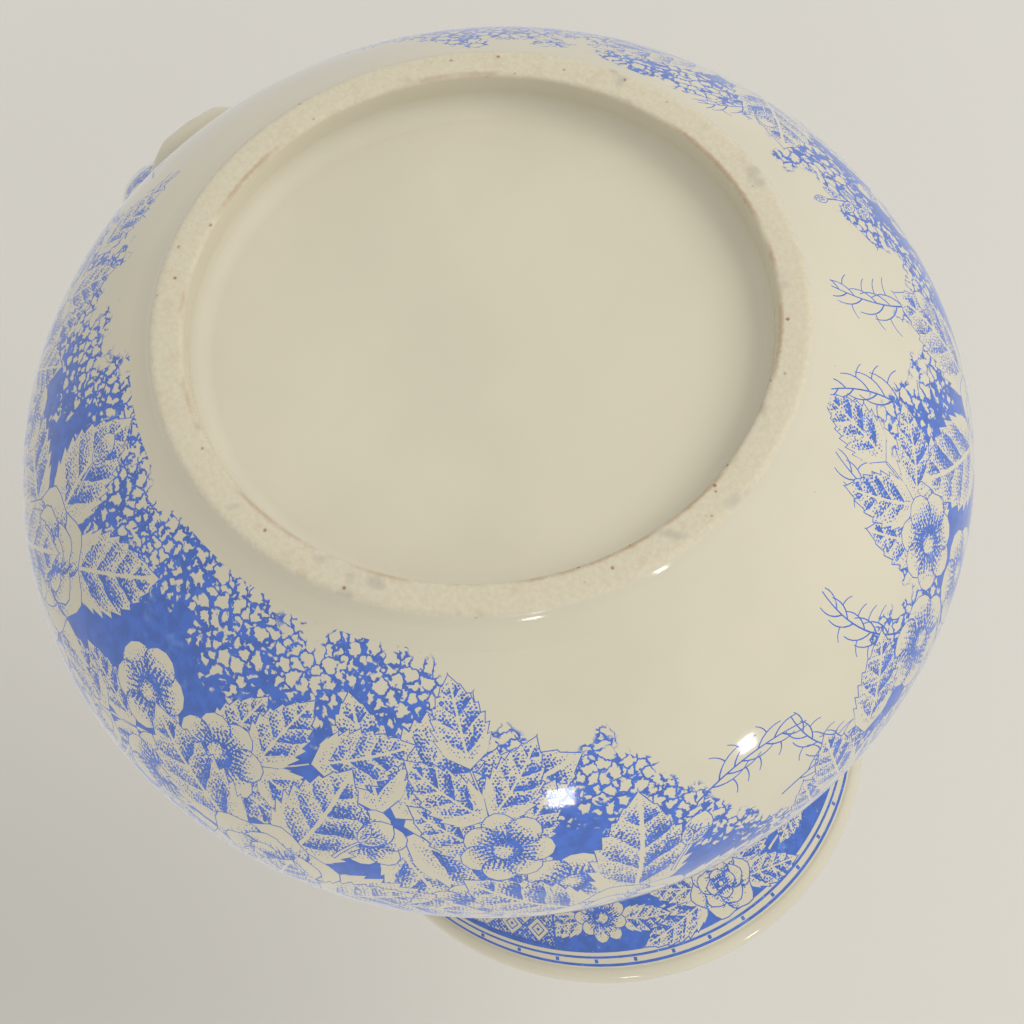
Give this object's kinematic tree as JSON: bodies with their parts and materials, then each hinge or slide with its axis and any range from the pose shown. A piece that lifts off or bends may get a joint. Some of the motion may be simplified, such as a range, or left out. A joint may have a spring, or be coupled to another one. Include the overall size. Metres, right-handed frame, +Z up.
{
  "type": "squat one-handled pitcher",
  "caption": "Squat round-bellied pitcher on a low foot ring, with a waisted neck, a wide flared pouring lip and a strap handle opposite it.",
  "frame": {"origin": "on the table, under the middle of the overall length and width; the pot's own axis stands 24.6 mm ahead of it, at x = +0.0246 m", "axes": "+Z up along the pot's axis, +X towards the pouring lip, -X towards the handle"},
  "size_m": [0.2758, 0.227, 0.1724],
  "materials": {
    "cream_glaze": "glossy cream glaze over an off-white body",
    "printed_glaze": "blue transfer print of leaves and flowers under glossy cream glaze",
    "bare_foot": "thinly glazed, worn and stained on the resting face"
  },
  "bodies": {
    "root": {"foot_ring": "bare_foot", "base_floor": "cream_glaze", "belly": "printed_glaze", "shoulder": "printed_glaze", "neck": "cream_glaze", "pouring_lip": "printed_glaze", "lip_roll": "cream_glaze", "handle_lower_terminal": "cream_glaze", "handle_strap": "printed_glaze", "handle_upper_terminal": "cream_glaze"}
  },
  "joints": []
}
